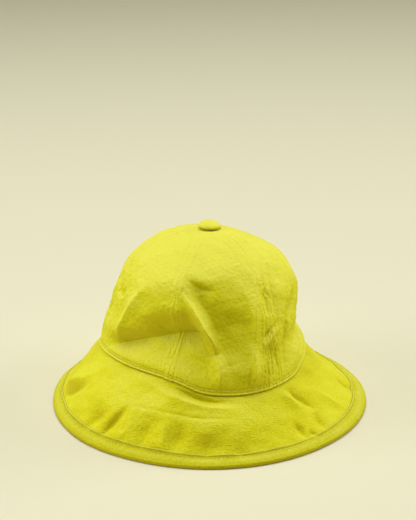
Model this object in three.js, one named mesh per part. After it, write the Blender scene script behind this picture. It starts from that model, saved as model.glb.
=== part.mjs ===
// A cotton bucket hat: six crown panels, a wide sloping brim, a binding folded round the
// brim's edge and a covered button on top. Millimetres, +Z up. The front faces -Y, the
// binding stands on Z = 0 and the origin is under the middle of the hat.

import * as THREE from "three";

// Driving dimensions
const HEAD_WIDTH = 182;
const HEAD_LENGTH = 198;
const MEAN_RADIUS = (HEAD_WIDTH + HEAD_LENGTH) / 4;
const CROWN_RISE = 111.5;
const SEAM_HEIGHT = 50;
const BRIM_RADIUS = 147;
const CLOTH = 2;
const GAP = 0.3;

// The crown leans a little over the opening that it is sewn to
const OPENING_RIGHT = -4;
const TOP_LEAN = 3.2;
const PANEL_LENGTH = 165;
const HOLE_RADIUS = 4.5;

// How far from the seam, the top's middle and the brim's edge the cloth can fold freely
const SEAM_HOLD = 6;
const TOP_HOLD = 12;
const EDGE_HOLD = 14;

// The brim starts under the crown's seam, a little inside its outer face
const SEAM_LIP = 0.7;
const BRIM_SLOPE = 74;

// The binding is folded over the last stretch of the brim and stands on a flat foot
const BINDING_CLOTH = 1.2;
const BINDING_SHARE = 0.125;
const EDGE_RADIUS = CLOTH / 2 + GAP + BINDING_CLOTH;
const FOOT_HALF = 1.06;
const EDGE_HEIGHT = Math.sqrt(EDGE_RADIUS ** 2 - FOOT_HALF ** 2);

const BUTTON_RADIUS = 10;
const BUTTON_HEIGHT = 5.2;
const BUTTON_TILT = 4;
const STEM_RADIUS = 3;

// From the middle of the brim's oval to the middle of the hat's box
const MIDDLE = new THREE.Vector2(-2.1, -8.95);

const CROWN_ROWS = 20;
const BRIM_ROWS = 8;
const BRIM_COLUMNS = 84;

const COTTON = new THREE.Color("#dcd840");
const COTTON_BINDING = new THREE.Color("#d2cd38");

// Each row of a table becomes an object with the named columns
function table(columns, ...rows) {
  return rows.map((row) => Object.fromEntries(columns.map((column, k) => [column, row[k]])));
}

// Round the hat, "at" is in degrees from the front towards +X. "out" moves the crown's
// seam outwards and "rise" lifts it, both in millimetres.
const SEAM_LINE = table(
  ["at", "out", "rise"],
  [-180, 0, 4],
  [-130, 1, 4],
  [-90, 5.5, 4],
  [-70, 2, 6],
  [-40, -4, 6],
  [-25, -3, 3.5],
  [-10, -1, -3.5],
  [5, 0, -6],
  [20, 1, -7],
  [45, 2, -6],
  [60, 0, -4.5],
  [90, 0, 0],
  [110, 1, 4],
);

// "round" is the power of the crown's rounded profile: 2 is an ellipse, more is boxier
const CROWN_PROFILE = table(
  ["at", "round"],
  [-180, 1.75],
  [-135, 2.15],
  [-90, 2.5],
  [0, 2.5],
  [45, 2.45],
  [90, 2.15],
  [135, 1.7],
);

// "share" runs from 0 at the crown's seam to 1 at its top; the other columns push the
// crown's right and left sides outwards
const CROWN_SIDES = table(
  ["share", "right", "left"],
  [0, 0, 0],
  [0.06, -7, -1],
  [0.12, -10, -2],
  [0.2, -7, -3],
  [0.35, 0.5, -2],
  [0.5, 4, 0],
  [0.65, 3, 1],
  [0.8, 1, 1],
  [1, 0, 0],
);

// "out" moves the brim's edge outwards
const BRIM_EDGE = table(
  ["at", "out"],
  [-180, -19],
  [-140, -16],
  [-105, -5],
  [-60, 1],
  [-30, -1],
  [60, -1],
  [80, -4],
  [100, -12],
  [120, -19],
  [145, -21],
);

// "flare" bends the brim's slope, from 0 straight to 1 bell-shaped
const BRIM_FLARE = table(
  ["at", "flare"],
  [-180, 0.3],
  [-90, 0.2],
  [0, 0.25],
  [60, 0.35],
  [100, 0.75],
  [125, 0.8],
  [150, 0.6],
);

// A fold is a ridge (depth above 0) or a dent (below 0) that follows a line. The line's
// middle is "at" degrees round and "up" millimetres from the crown's seam, it turns "turn"
// degrees from level and fades out "reach" millimetres each way. "above" and "below" are
// the widths of its two flanks, and "bow" bends its middle towards "above".
const FOLD_COLUMNS = ["name", "at", "up", "turn", "reach", "above", "below", "depth", "bow"];

const CROWN_FOLDS = table(
  FOLD_COLUMNS,
  ["left tuck", -45, 25, 20, 72, 24, 9, -15, 0],
  ["left tuck end", -11, 36, -28, 20, 8, 6, -4, 0],
  ["cheek over the tuck", -42, 66, 25, 46, 20, 14, 5, 0],
  ["left edge of the tuck", -77, 39, 71, 46, 9, 7, 5, -8],
  ["roll under the tuck", -38, 13, 12, 50, 8, 9, 4, 0],
  ["pinched ridge", -12, 51, -55, 40, 12, 9, 7, 2],
  ["hollow beside the pinch", -18, 46, -50, 34, 8, 10, -4, -3],
  ["corner of the front dent", -14, 86, -4, 24, 9, 14, -4, 0],
  ["front dent", 13, 40, 90, 56, 30, 12, -13, 0],
  ["ridge beside the dent", 27, 75, 73, 50, 8, 8, 3, 4],
  ["front roll at the seam", 18, 16, 89, 22, 7, 7, 3, 0],
  ["right roll at the seam", 56, 9, 20, 26, 8, 8, 4, 0],
  ["left crest of the top", -100, 142, 0, 70, 16, 18, 2, 0],
);

// On the brim, "up" is millimetres out from the crown's seam
const BRIM_FOLDS = table(
  FOLD_COLUMNS,
  ["hollow at the seam", -16, 5, 3, 44, 6, 6, -2.5, 0],
  ["lip below the hollow", -14, 16, 3, 54, 9, 9, 3, 2],
  ["left crease", -48, 50, -64, 22, 9, 9, -2.5, 0],
  ["front left wave", -30, 48, -75, 22, 10, 9, -2.5, 0],
  ["front wave", -19, 47, -75, 22, 9, 10, -2.5, 0],
  ["left edge wave", -80, 52, -44, 28, 9, 9, -2, 0],
  ["right crease", 41, 25, 68, 26, 9, 9, -2, 0],
  ["right edge wave", 75, 55, -76, 20, 9, 9, -2.5, 0],
);

// Crown panels run from seam to seam, with fewer columns at the plain back
const PANELS = table(
  ["name", "from", "to", "columns"],
  ["crown_panel_1", -30, 27, 16],
  ["crown_panel_2", 27, 90, 16],
  ["crown_panel_3", 90, 150, 9],
  ["crown_panel_4", 150, 210, 9],
  ["crown_panel_5", -150, -90, 9],
  ["crown_panel_6", -90, -30, 16],
);

const radians = THREE.MathUtils.degToRad;

// A smooth curve through four neighbouring rows, read between the middle two
function curveBetween(x, rows, key, column) {
  const [x0, x1, x2, x3] = rows.map((row) => row[key]);
  const [y0, y1, y2, y3] = rows.map((row) => row[column]);
  const width = x2 - x1;
  const s = (x - x1) / width;
  const slope1 = x2 > x0 ? ((y2 - y0) / (x2 - x0)) * width : 0;
  const slope2 = x3 > x1 ? ((y3 - y1) / (x3 - x1)) * width : 0;
  const start = 2 * s ** 3 - 3 * s ** 2 + 1;
  const end = 3 * s ** 2 - 2 * s ** 3;
  return start * y1 + end * y2 + (s ** 3 - 2 * s ** 2 + s) * slope1 + (s ** 3 - s ** 2) * slope2;
}

// Reads a column of a table whose "at" goes once round the hat
function roundAt(rows, column, at) {
  const first = rows[0].at;
  const angle = THREE.MathUtils.euclideanModulo(at - first, 360) + first;
  const here = rows.findLastIndex((row) => row.at <= angle);
  const neighbours = [-1, 0, 1, 2].map((step) => {
    const k = here + step;
    const row = rows[THREE.MathUtils.euclideanModulo(k, rows.length)];
    return { ...row, at: row.at + 360 * Math.floor(k / rows.length) };
  });
  return curveBetween(angle, neighbours, "at", column);
}

// Reads a column of a table whose "share" goes from 0 to 1
function alongAt(rows, column, share) {
  const last = rows.length - 1;
  const here = Math.min(rows.findLastIndex((row) => row.share <= share), last - 1);
  const neighbours = [-1, 0, 1, 2].map((step) => rows[THREE.MathUtils.clamp(here + step, 0, last)]);
  return curveBetween(share, neighbours, "share", column);
}

// How far the folds move the cloth at a place "up" millimetres along it, where the hat is
// "radius" wide
function foldDepth(folds, at, up, radius) {
  return folds.reduce((sum, fold) => {
    const turn = radians(fold.turn);
    const level = radians(THREE.MathUtils.euclideanModulo(at - fold.at + 180, 360) - 180) * radius;
    const along = level * Math.cos(turn) + (up - fold.up) * Math.sin(turn);
    const share = Math.min(Math.abs(along / fold.reach), 1);
    const fade = 1 - share ** 2;
    const across = (up - fold.up) * Math.cos(turn) - level * Math.sin(turn) - fold.bow * fade;
    const width = across > 0 ? fold.above : fold.below;
    return sum + fold.depth * Math.exp(-(Math.abs(across / width) ** 1.5)) * fade ** 2;
  }, 0);
}

const crownPower = (at) => 2 / roundAt(CROWN_PROFILE, "round", at);

// The share at which the panels end round the small hole under the button
function holeShare(at) {
  const wide = HOLE_RADIUS / MEAN_RADIUS;
  return (2 / Math.PI) * Math.acos(wide ** (1 / crownPower(at)));
}

// The crown's outer face with no folds
function crownForm(at, share) {
  const turn = radians(at);
  const right = Math.sin(turn);
  const power = crownPower(at);
  const wide = Math.cos((share * Math.PI) / 2) ** power;
  const high = Math.sin((share * Math.PI) / 2) ** power;
  const pushed = alongAt(CROWN_SIDES, right > 0 ? "right" : "left", share) * right ** 2;
  const out = pushed + roundAt(SEAM_LINE, "out", at) * (1 - high) ** 1.5;
  return new THREE.Vector3(
    OPENING_RIGHT + TOP_LEAN * high + ((HEAD_WIDTH / 2) * wide + out) * right - MIDDLE.x,
    -((HEAD_LENGTH / 2) * wide + out) * Math.cos(turn) - MIDDLE.y,
    SEAM_HEIGHT + roundAt(SEAM_LINE, "rise", at) * (1 - high) + CROWN_RISE * high,
  );
}

function crownNormal(at, share) {
  const step = 0.002;
  const low = Math.min(share, 1 - 2 * step);
  const level = crownForm(at + 1, low).sub(crownForm(at - 1, low));
  const upward = crownForm(at, low + step).sub(crownForm(at, Math.max(low - step, 0)));
  return level.cross(upward).normalize();
}

// From 0 where a seam or the button holds the cloth still to 1 where it is free to fold
const freeAfter = (distance, reach) => 1 - Math.exp(-((distance / reach) ** 2));

// A place in the crown's cloth, "inside" millimetres under its outer face. The wall stands
// upright on the seam, so its bottom face is level there.
function crownPlace(at, share, inside) {
  const wide = Math.cos((share * Math.PI) / 2) ** crownPower(at);
  const radius = Math.max(MEAN_RADIUS * wide, BUTTON_RADIUS);
  const up = share * PANEL_LENGTH;
  const free = freeAfter(up, SEAM_HOLD);
  const depth = foldDepth(CROWN_FOLDS, at, up, radius) * free * freeAfter(PANEL_LENGTH - up, TOP_HOLD);
  const normal = crownNormal(at, share);
  normal.setZ(normal.z * free).normalize();
  return crownForm(at, share).addScaledVector(normal, depth - inside);
}

// The middle of the brim's cloth. "share" runs from 0 at the seam to 1 at the edge and may
// pass it. "lift" is millimetres above the middle.
function brimPlace(at, share, lift) {
  const turn = radians(at);
  const flare = roundAt(BRIM_FLARE, "flare", at);
  const seam = crownForm(at, 0);
  const radius = BRIM_RADIUS + roundAt(BRIM_EDGE, "out", at);
  const edge = new THREE.Vector3(
    radius * Math.sin(turn) - MIDDLE.x,
    -radius * Math.cos(turn) - MIDDLE.y,
    EDGE_HEIGHT,
  );
  const outward = edge.clone().sub(seam).setZ(0);
  const run = outward.length();
  outward.normalize();
  const normal = (steep) => {
    const drop = seam.z - EDGE_HEIGHT;
    return outward.clone().multiplyScalar(drop).setZ(run * steep).normalize();
  };
  seam.addScaledVector(normal(1 - flare), -CLOTH / 2).addScaledVector(outward, -SEAM_LIP);
  seam.z -= GAP;
  const forward = share + flare * share * (share - 1);
  const place = new THREE.Vector3(
    THREE.MathUtils.lerp(seam.x, edge.x, forward),
    THREE.MathUtils.lerp(seam.y, edge.y, forward),
    THREE.MathUtils.lerp(seam.z, edge.z, share),
  );
  const up = share * BRIM_SLOPE;
  const radiusHere = Math.hypot(place.x + MIDDLE.x, place.y + MIDDLE.y);
  const free = freeAfter(up, SEAM_HOLD) * freeAfter(Math.max(BRIM_SLOPE - up, 0), EDGE_HOLD);
  const depth = foldDepth(BRIM_FOLDS, at, up, radiusHere) * free;
  return place.addScaledVector(normal(1 + flare * (2 * share - 1)), depth + lift);
}

// A closed body through loops that all have the same number of points. The loops of a
// ring come back to the first one; otherwise the ends are closed by pairing each point
// with the one across the wall.
function loft(loops, isRing) {
  const size = loops[0].length;
  const faces = [];
  const quad = (a, b, c, d) => faces.push(a, b, c, a, c, d);
  const bands = isRing ? loops.length : loops.length - 1;
  for (let i = 0; i < bands; i += 1) {
    const here = i * size;
    const next = ((i + 1) % loops.length) * size;
    for (let k = 0; k < size; k += 1) {
      const after = (k + 1) % size;
      quad(here + k, here + after, next + after, next + k);
    }
  }
  if (!isRing) {
    const end = (loops.length - 1) * size;
    for (let k = 0; k < size / 2 - 1; k += 1) {
      const across = size - 1 - k;
      quad(k, across, across - 1, k + 1);
      quad(end + k, end + k + 1, end + across - 1, end + across);
    }
  }
  const geometry = new THREE.BufferGeometry().setFromPoints(loops.flat());
  geometry.setIndex(faces);
  geometry.computeVertexNormals();
  return geometry;
}

const counted = (count, make) => Array.from({ length: count }, (_, k) => make(k));

// One crown panel: each loop goes along the outer face and back along the inner one. The
// seam allowance grows in degrees as the panel narrows, so the gap stays the same.
function panelGeometry(panel) {
  const middle = (panel.from + panel.to) / 2;
  return loft(
    counted(CROWN_ROWS + 1, (row) => {
      const share = row / CROWN_ROWS;
      const wide = Math.cos((share * holeShare(middle) * Math.PI) / 2) ** crownPower(middle);
      const seamHalf = THREE.MathUtils.radToDeg(GAP / 2 / (MEAN_RADIUS * wide));
      const angles = counted(panel.columns + 1, (k) =>
        THREE.MathUtils.lerp(panel.from + seamHalf, panel.to - seamHalf, k / panel.columns));
      const outer = angles.map((at) => crownPlace(at, share * holeShare(at), 0));
      const inner = angles.map((at) => crownPlace(at, share * holeShare(at), CLOTH));
      return [...outer, ...inner.reverse()];
    }),
    false,
  );
}

const roundTheBrim = (section) =>
  loft(counted(BRIM_COLUMNS, (k) => section(-180 + (360 * k) / BRIM_COLUMNS)), true);

function brimGeometry() {
  return roundTheBrim((at) => {
    const shares = counted(BRIM_ROWS + 1, (row) => row / BRIM_ROWS);
    const top = shares.map((share) => brimPlace(at, share, CLOTH / 2));
    const under = shares.map((share) => brimPlace(at, share, -CLOTH / 2));
    return [...top, ...under.reverse()];
  });
}

// The binding's section: over the brim's top, round its edge, along the flat foot on
// Z = 0, under the brim, and back inside with a small gap to the brim
function bindingGeometry() {
  const start = 1 - BINDING_SHARE;
  return roundTheBrim((at) => {
    const inside = CLOTH / 2 + GAP;
    const middle = brimPlace(at, 1, 0);
    const above = brimPlace(at, 1, EDGE_RADIUS).sub(middle).normalize();
    const level = above.clone().setZ(0).normalize();
    const beyond = level.clone().multiplyScalar(above.z).setZ(-Math.hypot(above.x, above.y));
    const turned = (angle) => middle.clone()
      .addScaledVector(above, EDGE_RADIUS * Math.cos(radians(angle)))
      .addScaledVector(beyond, EDGE_RADIUS * Math.sin(radians(angle)));
    const corner = (lift) => middle.clone().addScaledVector(above, lift).addScaledVector(beyond, GAP);
    const foot = (along) => middle.clone().addScaledVector(level, along).setZ(0);
    return [
      brimPlace(at, start, EDGE_RADIUS),
      turned(0),
      turned(40),
      turned(80),
      foot(FOOT_HALF),
      foot(-FOOT_HALF),
      brimPlace(at, start, -EDGE_RADIUS),
      brimPlace(at, start, -inside),
      corner(-inside),
      corner(inside),
      brimPlace(at, start, inside),
    ];
  });
}

// The button's flat underside rests just clear of the crown, and its stem goes down
// through the hole where the panels meet
function buttonGeometry() {
  const dome = counted(7, (k) => {
    const turn = (k / 6) * (Math.PI / 2);
    return new THREE.Vector2(
      BUTTON_RADIUS * Math.cos(turn) ** 0.8,
      1 + (BUTTON_HEIGHT - 1) * Math.sin(turn) ** 0.9,
    );
  });
  dome.at(-1).x = 0;
  const profile = [
    new THREE.Vector2(0, -CLOTH),
    new THREE.Vector2(STEM_RADIUS, -CLOTH),
    new THREE.Vector2(STEM_RADIUS, 0),
    new THREE.Vector2(BUTTON_RADIUS - 1, 0),
    ...dome,
  ];
  return new THREE.LatheGeometry(profile, 16).rotateX(Math.PI / 2);
}

function cottonMesh(name, geometry, color) {
  const material = new THREE.MeshStandardMaterial({ color, roughness: 0.95, metalness: 0 });
  const mesh = new THREE.Mesh(geometry, material);
  mesh.name = name;
  return mesh;
}

const hat = new THREE.Group();
for (const panel of PANELS) {
  hat.add(cottonMesh(panel.name, panelGeometry(panel), COTTON));
}
hat.add(cottonMesh("brim", brimGeometry(), COTTON));
hat.add(cottonMesh("brim_binding", bindingGeometry(), COTTON_BINDING));

const button = cottonMesh("top_button", buttonGeometry(), COTTON);
const top = crownForm(0, 1);
const lean = radians(BUTTON_TILT);
button.position.copy(top).setZ(top.z + GAP + BUTTON_RADIUS * Math.sin(lean));
button.rotation.y = lean;
hat.add(button);

export default hat;
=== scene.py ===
"""A washed cotton bucket hat in yellow-green canvas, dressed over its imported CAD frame.

The crown is sewn from six panels with felled, topstitched seams and has a soft dent and a
tuck at its front. A wide brim slopes down all round, a folded binding finishes its edge,
and a covered button sits where the panels meet. Shapes are worked out in millimetres, with
+Z up, the front towards -Y, and "at" in degrees round the hat from the front towards +X.
"""

import logging
from collections.abc import Callable
from dataclasses import dataclass
from enum import Enum
from functools import partial

import bpy
import numpy as np
from mathutils import Matrix, Vector

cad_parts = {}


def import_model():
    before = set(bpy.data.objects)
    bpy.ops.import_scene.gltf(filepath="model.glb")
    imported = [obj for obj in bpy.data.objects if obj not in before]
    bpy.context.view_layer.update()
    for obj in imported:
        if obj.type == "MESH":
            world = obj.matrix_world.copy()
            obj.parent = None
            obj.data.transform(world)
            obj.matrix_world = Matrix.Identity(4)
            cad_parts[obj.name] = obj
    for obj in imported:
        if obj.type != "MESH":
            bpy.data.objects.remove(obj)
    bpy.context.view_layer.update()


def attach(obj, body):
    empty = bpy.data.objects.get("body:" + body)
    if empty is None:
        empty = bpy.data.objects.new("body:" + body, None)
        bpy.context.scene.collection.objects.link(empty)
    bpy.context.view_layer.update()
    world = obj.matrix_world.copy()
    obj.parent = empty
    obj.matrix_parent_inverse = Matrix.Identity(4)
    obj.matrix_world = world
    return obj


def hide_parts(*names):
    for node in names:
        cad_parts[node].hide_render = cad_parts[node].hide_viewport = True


Array = np.ndarray
Rows = tuple[tuple[float, ...], ...]
Material = bpy.types.Material
Tree = bpy.types.NodeTree
Socket = bpy.types.NodeSocket
Place = Callable[[Array, Array, float], Array]
Centre = Callable[[Array], tuple[Array, Array]]

MM = 0.001
STITCH = 3.2  # millimetres from needle hole to needle hole
WAVE_PERIOD = 2 * np.pi / 20  # of a wave texture whose scale is 1
ROOT = "root"
LOG = logging.getLogger("hat")


class Slot(Enum):
    """The record's material slots."""

    CLOTH = "cotton_cloth"
    BINDING = "cotton_binding"


def srgb(hex_colour: str) -> tuple[float, float, float, float]:
    """Turns an sRGB hex colour to linear RGBA.

    Args:
        hex_colour: six hex digits after a hash sign.

    Returns:
        Linear red, green and blue with alpha 1.
    """
    parts = np.array([int(hex_colour[k : k + 2], 16) for k in (1, 3, 5)]) / 255
    low, high = parts / 12.92, ((parts + 0.055) / 1.055) ** 2.4
    red, green, blue = np.where(parts <= 0.04045, low, high)
    return float(red), float(green), float(blue), 1.0


def unit(vectors: Array) -> Array:
    """Each vector at length one."""
    return vectors / np.linalg.norm(vectors, axis=-1, keepdims=True)


def stacked(*parts: Array | float) -> Array:
    """Coordinates joined into points on a new last axis."""
    return np.stack(np.broadcast_arrays(*parts), -1)


def bell(distance: Array, width: float, power: float = 2.0) -> Array:
    """A smooth hump: e to the minus |distance / width| to a power."""
    return np.exp(-(np.abs(distance / width) ** power))


def bells(along: Array, rows: Rows) -> Array:
    """The sum of humps, a row of middle, width and height for each."""
    return sum(height * bell(along - middle, width) for middle, width, height in rows)


def free_after(distance: Array, reach: float) -> Array:
    """From 0 where the cloth is held to 1 where it is free: one less a bell."""
    return 1 - bell(distance, reach)


def stitch_pull(along: Array, pull: float) -> Array:
    """How hard a row of stitches pulls: 1 at the holes, less twice the pull between them."""
    return 1 - pull + pull * np.cos(2 * np.pi * along / STITCH)


def turned_from(middle: float, at: Array) -> Array:
    """Degrees from a middle to each angle, from -180 to 180."""
    return (at - middle + 180) % 360 - 180


def columns_round(count: int, closing: int = 0) -> Array:
    """Degrees of even columns round the hat, with the first again where closing is 1."""
    return (-180 + np.arange(count + closing) * (360 / count))[:, None]


def there_and_back(out: Array, home: Array | None = None) -> Array:
    """Values along one face of a wall, then back along its other face or the same."""
    return np.concatenate([out, (out if home is None else home)[:, ::-1]], 1)


def cubic(x: Array, xs: Array, ys: Array) -> Array:
    """A smooth curve through four neighbouring rows, read between the middle two.

    Hermite's cubic, with the slope at each middle row taken through its two neighbours.

    Args:
        x: where to read.
        xs: the four places, on the last axis.
        ys: the four values, on the last axis.

    Returns:
        The curve's values at x.
    """
    width = xs[..., 2] - xs[..., 1]
    s = (x - xs[..., 1]) / width
    first = (ys[..., 2] - ys[..., 0]) / (xs[..., 2] - xs[..., 0]) * width
    second = (ys[..., 3] - ys[..., 1]) / (xs[..., 3] - xs[..., 1]) * width
    start = 2 * s**3 - 3 * s**2 + 1
    return (
        start * ys[..., 1]
        + (1 - start) * ys[..., 2]
        + (s**3 - 2 * s**2 + s) * first
        + (s**3 - s**2) * second
    )


@dataclass(frozen=True)
class RoundTable:
    """Values that change smoothly once round the hat.

    Attributes:
        rows: degrees, then one or more values.
    """

    rows: Rows

    def read(self, at: Array, column: int = 1) -> Array:
        """A column's value at each angle, the table repeating every 360 degrees."""
        x, y = np.array(self.rows, float).T[[0, column]]
        angle = (at - x[0]) % 360 + x[0]
        k = (np.searchsorted(x, angle, side="right") - 1)[..., None] + np.arange(-1, 3)
        return cubic(angle, x[k % len(x)] + 360 * (k // len(x)), y[k % len(x)])


@dataclass(frozen=True)
class AlongTable:
    """Values that change smoothly along a line.

    Attributes:
        rows: how far along, then one or more values.
    """

    rows: Rows

    def read(self, along: Array, column: int = 1) -> Array:
        """A column's value at each place, the end rows standing for what is past them."""
        x, y = np.array(self.rows, float).T[[0, column]]
        along = np.clip(along, x[0], x[-1])
        here = np.clip(np.searchsorted(x, along, side="right") - 1, 0, len(x) - 2)
        k = here[..., None] + np.arange(-1, 3)
        kept = np.clip(k, 0, len(x) - 1)
        return cubic(along, x[kept] + (k - kept), y[kept])


@dataclass(frozen=True)
class Fold:
    """A ridge (depth above 0) or dent (below 0) of the cloth that follows a line.

    Attributes:
        at: degrees round the hat of the line's middle.
        up: millimetres along the cloth from the crown's seam.
        turn: degrees that the line turns from level.
        reach: how far it goes each way before it has faded out.
        above: width of its flank on the upper side.
        below: width of its flank on the lower side.
        depth: millimetres out of the cloth.
        crisp: power of the flanks: near 1 a sharp crease, 2 and more a soft roll.
        bow: how far the line's middle bends towards the upper side.
    """

    at: float
    up: float
    turn: float
    reach: float
    above: float
    below: float
    depth: float
    crisp: float
    bow: float = 0.0

    def height(self, at: Array, up: Array, radius: Array) -> Array:
        """Depth times a bell across the line times (1 - (along / reach)^2)^2 along it."""
        turn = np.radians(self.turn)
        level = np.radians(turned_from(self.at, at)) * radius
        along = level * np.cos(turn) + (up - self.up) * np.sin(turn)
        across = (up - self.up) * np.cos(turn) - level * np.sin(turn)
        fade = 1 - np.minimum(np.abs(along / self.reach), 1) ** 2
        across = across - self.bow * fade
        width = np.where(across > 0, self.above, self.below)
        return self.depth * bell(across / width, 1.0, self.crisp) * fade**2


@dataclass(frozen=True)
class Hollow:
    """A place where the cloth has caved in: two faces that lean in and meet in a valley.

    Attributes:
        rows: how far along the hollow, its first edge, its valley, its last edge, and the
            valley's depth in millimetres. It is none before the first row or after the last.
        runs_up: True where it runs up the crown in millimetres, its edges and valley in
            degrees, and False where it runs round in degrees, the rest in millimetres.
        skew: degrees that its columns lean for each millimetre above the pivot. They stand
            upright below the foot.
        soft: rounding of the valley, as a share of the faces.
        brow: rounding of the edges, as a share of the faces.
        curl: power of the last face. Above 1 it is steepest at the valley, below 1 at
            its edge.
        pivot: millimetres up where the lean is none.
        foot: millimetres up where the lean begins.
    """

    rows: Rows
    runs_up: bool = False
    skew: float = 0.0
    curl: float = 1.0
    soft: float = 0.08
    brow: float = 0.1
    pivot: float = 46.0
    foot: float = 24.0

    def height(self, at: Array, up: Array, radius: Array) -> Array:
        """Minus the depth times the lesser of two slopes, with soft corners."""
        lean = self.skew * (np.maximum(up, self.foot) - self.pivot)
        at, up = np.broadcast_arrays(turned_from(0, at) + lean, up)
        run, across = (up, at) if self.runs_up else (at, up)
        table = AlongTable(self.rows)
        first, valley, last, depth = (table.read(run, column) for column in (1, 2, 3, 4))
        rise = (across - first) / (valley - first)
        fall = (last - across) / (last - valley)
        fall = np.sign(fall) * np.abs(fall) ** self.curl
        tent = (rise + fall - np.hypot(rise - fall, self.soft)) / 2
        return -np.maximum(depth, 0) * (tent + np.hypot(tent, self.brow)) / 2


def folded(folds: tuple[Fold | Hollow, ...], at: Array, up: Array, radius: Array) -> Array:
    """The sum of all the folds' heights in millimetres."""
    return sum(fold.height(at, up, radius) for fold in folds)


@dataclass(frozen=True)
class Unevenness:
    """Smooth seeded unevenness of cloth with a height of about one.

    Attributes:
        seed: seed of its random waves.
        length: millimetres from crest to crest.
        waves: how many plane sine waves are added up.
    """

    seed: int
    length: float
    waves: int = 16

    def read(self, points: Array) -> Array:
        """The sum of sine waves in random directions through space at each point."""
        random = np.random.default_rng(self.seed)
        pace = 2 * np.pi / self.length * random.uniform(0.6, 1.5, self.waves)
        ways = unit(random.normal(size=(self.waves, 3))) * pace[:, None]
        phase = random.uniform(0, 2 * np.pi, self.waves)
        return np.sin(points @ ways.T + phase).sum(-1) * np.sqrt(2 / self.waves)


def roughness(kinds: tuple[tuple[Unevenness, float], ...], points: Array) -> Array:
    """The sum of several kinds of unevenness, each at its height in millimetres."""
    return sum(height * kind.read(points) for kind, height in kinds)


@dataclass(frozen=True)
class Body:
    """A closed body of cloth: points, quads, cloth coordinates, and wear with painted shade.

    Attributes:
        points: one row of three millimetres per point.
        quads: four point numbers per face.
        cloth: millimetres along and across the threads at each face's four corners.
        wear_and_painted_light: from -1 in a crease to 1 on a crest, per point: paler on crests
            from wear, deeper in creases as painted shade, and lower on pieces painted darker.
    """

    points: Array
    quads: Array
    cloth: Array
    wear_and_painted_light: Array


def loft(loops: Array, cloth: Array, wear_and_painted_light: Array, is_ring: bool) -> Body:
    """Skins loops of points, from one loop to the next.

    A ring comes back to its first loop. Otherwise both ends are closed by pairing each
    point with the one across the wall.

    Args:
        loops: points, as loops by points by three.
        cloth: cloth coordinates on the same grid, with one more loop for a ring.
        wear_and_painted_light: wear and painted shade on the grid of loops by points.
        is_ring: whether the loops go round and meet.

    Returns:
        The closed body.
    """
    count, size = loops.shape[:2]
    bands = count if is_ring else count - 1
    i, k = np.meshgrid(np.arange(bands), np.arange(size), indexing="ij")
    after = (k + 1) % size
    here, following = i * size, ((i + 1) % count) * size
    corners = [here + k, here + after, following + after, following + k]
    quads = np.stack(corners, -1).reshape(-1, 4)
    spots = [(i, k), (i, after), (i + 1, after), (i + 1, k)]
    uv = np.stack([cloth[a, b] for a, b in spots], 2).reshape(-1, 4, 2)
    if not is_ring:
        k = np.arange(size // 2 - 1)
        across = size - 1 - k
        end = (count - 1) * size
        start_cap = np.stack([k, across, across - 1, k + 1], -1)
        end_cap = end + np.stack([k, k + 1, across - 1, across], -1)
        quads = np.concatenate([quads, start_cap, end_cap])
        flat = cloth[:count].reshape(-1, 2)
        uv = np.concatenate([uv, flat[start_cap], flat[end_cap]])
    return Body(loops.reshape(-1, 3), quads, uv, wear_and_painted_light.reshape(-1))


def add_object(name: str, data: bpy.types.ID) -> bpy.types.Object:
    """Puts a new object with this data into the scene, at the origin."""
    made = bpy.data.objects.new(name, data)
    bpy.context.scene.collection.objects.link(made)
    return made


def cloth_piece(name: str, body: Body, finish: Material, slot: Slot, *nodes: str) -> None:
    """Puts a body into a mesh in metres, lets it ride on the hat, and reports it.

    The mesh has a "cloth" UV map and a "wear_and_painted_light" attribute, wear with painted
    shade, for its finish.

    Args:
        name: the piece's name.
        body: the closed body in millimetres.
        finish: the material that it wears.
        slot: the record's slot that its finish stands for. Not used.
        nodes: the CAD nodes that it replaces, if any.
    """
    mesh = bpy.data.meshes.new(name)
    mesh.vertices.add(len(body.points))
    mesh.vertices.foreach_set("co", (body.points * MM).astype(np.float32).ravel())
    mesh.loops.add(body.quads.size)
    mesh.loops.foreach_set("vertex_index", body.quads.astype(np.int32).ravel())
    mesh.polygons.add(len(body.quads))
    starts = np.arange(0, body.quads.size, 4, dtype=np.int32)
    mesh.polygons.foreach_set("loop_start", starts)
    mesh.update(calc_edges=True)
    mesh.validate()
    mesh.shade_smooth()
    layer = mesh.uv_layers.new(name="cloth")
    layer.uv.foreach_set("vector", (body.cloth * MM).astype(np.float32).ravel())
    wear_and_painted_light = mesh.attributes.new("wear_and_painted_light", "FLOAT", "POINT")
    wear_and_painted_light.data.foreach_set("value", body.wear_and_painted_light.astype(np.float32))
    mesh.materials.append(finish)
    piece = add_object(name, mesh)
    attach(piece, ROOT)
    if nodes:
        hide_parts(*nodes)
    LOG.info("%s: %d faces", name, len(mesh.polygons))


# Finishes


def add(
    tree: Tree, kind: str, sockets: dict[str | int, object] | None = None, **settings: object
) -> bpy.types.Node:
    """Adds a shader node, sets it up and links it.

    Args:
        tree: the node tree.
        kind: the node's type name after "ShaderNode".
        sockets: for each input a value, or the output socket that feeds it.
        settings: the node's own properties.

    Returns:
        The new node.
    """
    node = tree.nodes.new(f"ShaderNode{kind}")
    for key, value in settings.items():
        setattr(node, key, value)
    for key, value in (sockets or {}).items():
        if isinstance(value, Socket):
            tree.links.new(value, node.inputs[key])
        else:
            node.inputs[key].default_value = value
    return node


def calculated(tree: Tree, operation: str, *terms: object) -> Socket:
    """The result of one math node on values and sockets."""
    return add(tree, "Math", dict(enumerate(terms)), operation=operation).outputs[0]


def weighed(tree: Tree, base: float, *parts: tuple[Socket, float]) -> Socket:
    """A weighed sum: the base plus each part times its weight."""
    total: object = base
    for part, weight in parts:
        total = calculated(tree, "MULTIPLY_ADD", part, weight, total)
    return total


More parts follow.
